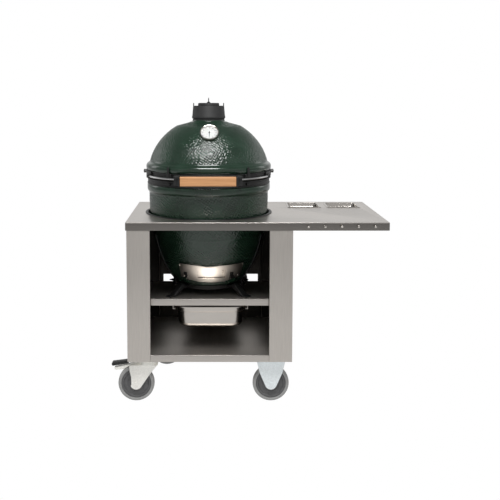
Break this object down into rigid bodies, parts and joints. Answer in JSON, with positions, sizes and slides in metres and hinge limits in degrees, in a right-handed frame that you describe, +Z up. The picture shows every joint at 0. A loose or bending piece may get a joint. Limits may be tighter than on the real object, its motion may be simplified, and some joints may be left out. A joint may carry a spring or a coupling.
{
  "type": "kamado charcoal grill on cart",
  "caption": "Ceramic kamado charcoal grill with hinged dome lid, set in a stainless-steel cart with a side worktop, food pans, sliding pan and caster wheels.",
  "frame": {"origin": "centre of the bottom of the bounding box, on the floor", "axes": "+Z up; -Y towards the cook; +X towards the side worktop"},
  "size_m": [1.2028, 0.702, 1.335],
  "materials": {
    "brushed_steel": "warm grey brushed stainless sheet",
    "bright_steel": "polished stainless",
    "grid_steel": "satin stainless wire",
    "zinc": "bright zinc plate",
    "green_glaze": "dark green dimpled glaze",
    "black_steel": "satin black powder coat",
    "cast_iron": "matte black casting",
    "wood": "oiled light hardwood",
    "tyre": "grey rubber",
    "black_plastic": "moulded dark plastic",
    "felt": "pressed heat-proof felt",
    "fireclay": "unglazed fired clay",
    "dial_face": "white enamel",
    "lens_glass": "clear"
  },
  "bodies": {
    "cart": {"worktop": "brushed_steel", "worktop_ring": "black_steel", "tool_peg_rail": "bright_steel", "side_panel_left": "brushed_steel", "side_panel_right": "brushed_steel", "bottom_panel": "brushed_steel", "back_panel": "brushed_steel", "caster_rail_left": "brushed_steel", "caster_rail_right": "brushed_steel", "middle_shelf": "brushed_steel", "pan_runner_left": "brushed_steel", "pan_runner_right": "brushed_steel", "caster_front_left_plate": "zinc", "caster_rear_left_plate": "zinc", "caster_front_right_fork": "zinc", "caster_rear_right_fork": "zinc", "base_bowl": "green_glaze", "base_gasket": "felt", "base_band": "black_steel", "draft_frame": "bright_steel", "draft_screen": "bright_steel", "firebox": "fireclay", "fire_ring": "fireclay", "fire_grate": "cast_iron", "nest": "black_steel", "hinge_lower": "black_steel", "hinge_pin": "zinc", "hinge_spring_left": "zinc", "hinge_spring_right": "zinc"},
    "lid": {"lid_dome": "green_glaze", "lid_gasket": "felt", "lid_band": "black_steel", "handle_grip": "wood", "handle_strap": "black_steel", "handle_rod_left": "bright_steel", "handle_rod_right": "bright_steel", "handle_anchor_left": "black_steel", "handle_anchor_right": "black_steel", "hinge_upper": "black_steel", "vent_body": "cast_iron", "vent_pivot": "zinc", "thermometer_case": "bright_steel", "thermometer_dial": "dial_face", "thermometer_lens": "lens_glass"},
    "needle": {"thermometer_needle": "black_steel"},
    "vent_disc": {"vent_disc": "cast_iron"},
    "draft_door": {"draft_door": "bright_steel"},
    "cooking_grid": {"cooking_grid": "grid_steel"},
    "ash_pan": {"ash_pan": "bright_steel"},
    "worktop_pan_left": {"worktop_pan_left": "bright_steel"},
    "worktop_pan_right": {"worktop_pan_right": "bright_steel"},
    "swivel_front_left": {"caster_front_left_fork": "zinc"},
    "swivel_rear_left": {"caster_rear_left_fork": "zinc"},
    "wheel_front_left": {"caster_front_left_wheel": "tyre"},
    "wheel_rear_left": {"caster_rear_left_wheel": "tyre"},
    "wheel_front_right": {"caster_front_right_wheel": "tyre"},
    "wheel_rear_right": {"caster_rear_right_wheel": "tyre"},
    "pedal_front_left": {"caster_front_left_pedal": "black_plastic"},
    "pedal_rear_left": {"caster_rear_left_pedal": "black_plastic"}
  },
  "joints": [
    {"name": "lid_hinge", "type": "hinge", "parent": "cart", "child": "lid", "pos_m": [-0.17561, 0.324, 0.973], "axis": [-1, 0, 0], "range_deg": [0, 70]},
    {"name": "needle_turn", "type": "hinge", "parent": "lid", "child": "needle", "pos_m": [-0.17111, -0.1825, 1.1767], "axis": [0, 0.7193, -0.6947], "range_deg": [0, 300]},
    {"name": "vent_disc_turn", "type": "hinge", "parent": "lid", "child": "vent_disc", "pos_m": [-0.17561, 0.006, 1.3], "axis": [0, 0, 1], "range_deg": [0, 45]},
    {"name": "draft_door_slide", "type": "hinge", "parent": "cart", "child": "draft_door", "pos_m": [-0.17561, 0.006, 0.552], "axis": [0, 0, 1], "range_deg": [-16, 0]},
    {"name": "cooking_grid_lift", "type": "slide", "parent": "cart", "child": "cooking_grid", "axis": [0, 0, 1], "range_m": [0, 0.04]},
    {"name": "ash_pan_slide", "type": "slide", "parent": "cart", "child": "ash_pan", "axis": [0, -1, 0], "range_m": [0, 0.4]},
    {"name": "worktop_pan_left_lift", "type": "slide", "parent": "cart", "child": "worktop_pan_left", "axis": [0, 0, 1], "range_m": [0, 0.15]},
    {"name": "worktop_pan_right_lift", "type": "slide", "parent": "cart", "child": "worktop_pan_right", "axis": [0, 0, 1], "range_m": [0, 0.15]},
    {"name": "swivel_front_left", "type": "hinge", "parent": "cart", "child": "swivel_front_left", "pos_m": [-0.44061, -0.268, 0.186], "axis": [0, 0, 1], "continuous": true},
    {"name": "wheel_front_left_spin", "type": "hinge", "parent": "swivel_front_left", "child": "wheel_front_left", "pos_m": [-0.49361, -0.268, 0.08], "axis": [0, 1, 0], "continuous": true},
    {"name": "pedal_front_left_press", "type": "hinge", "parent": "swivel_front_left", "child": "pedal_front_left", "pos_m": [-0.52761, -0.268, 0.176], "axis": [0, -1, 0], "range_deg": [0, 5]},
    {"name": "swivel_rear_left", "type": "hinge", "parent": "cart", "child": "swivel_rear_left", "pos_m": [-0.44061, 0.234, 0.186], "axis": [0, 0, 1], "continuous": true},
    {"name": "wheel_rear_left_spin", "type": "hinge", "parent": "swivel_rear_left", "child": "wheel_rear_left", "pos_m": [-0.38761, 0.234, 0.08], "axis": [0, 1, 0], "continuous": true},
    {"name": "pedal_rear_left_press", "type": "hinge", "parent": "swivel_rear_left", "child": "pedal_rear_left", "pos_m": [-0.35361, 0.234, 0.176], "axis": [0, 1, 0], "range_deg": [0, 5]},
    {"name": "wheel_front_right_spin", "type": "hinge", "parent": "cart", "child": "wheel_front_right", "pos_m": [0.10039, -0.268, 0.08], "axis": [0, 1, 0], "continuous": true},
    {"name": "wheel_rear_right_spin", "type": "hinge", "parent": "cart", "child": "wheel_rear_right", "pos_m": [0.10039, 0.234, 0.08], "axis": [0, 1, 0], "continuous": true}
  ]
}
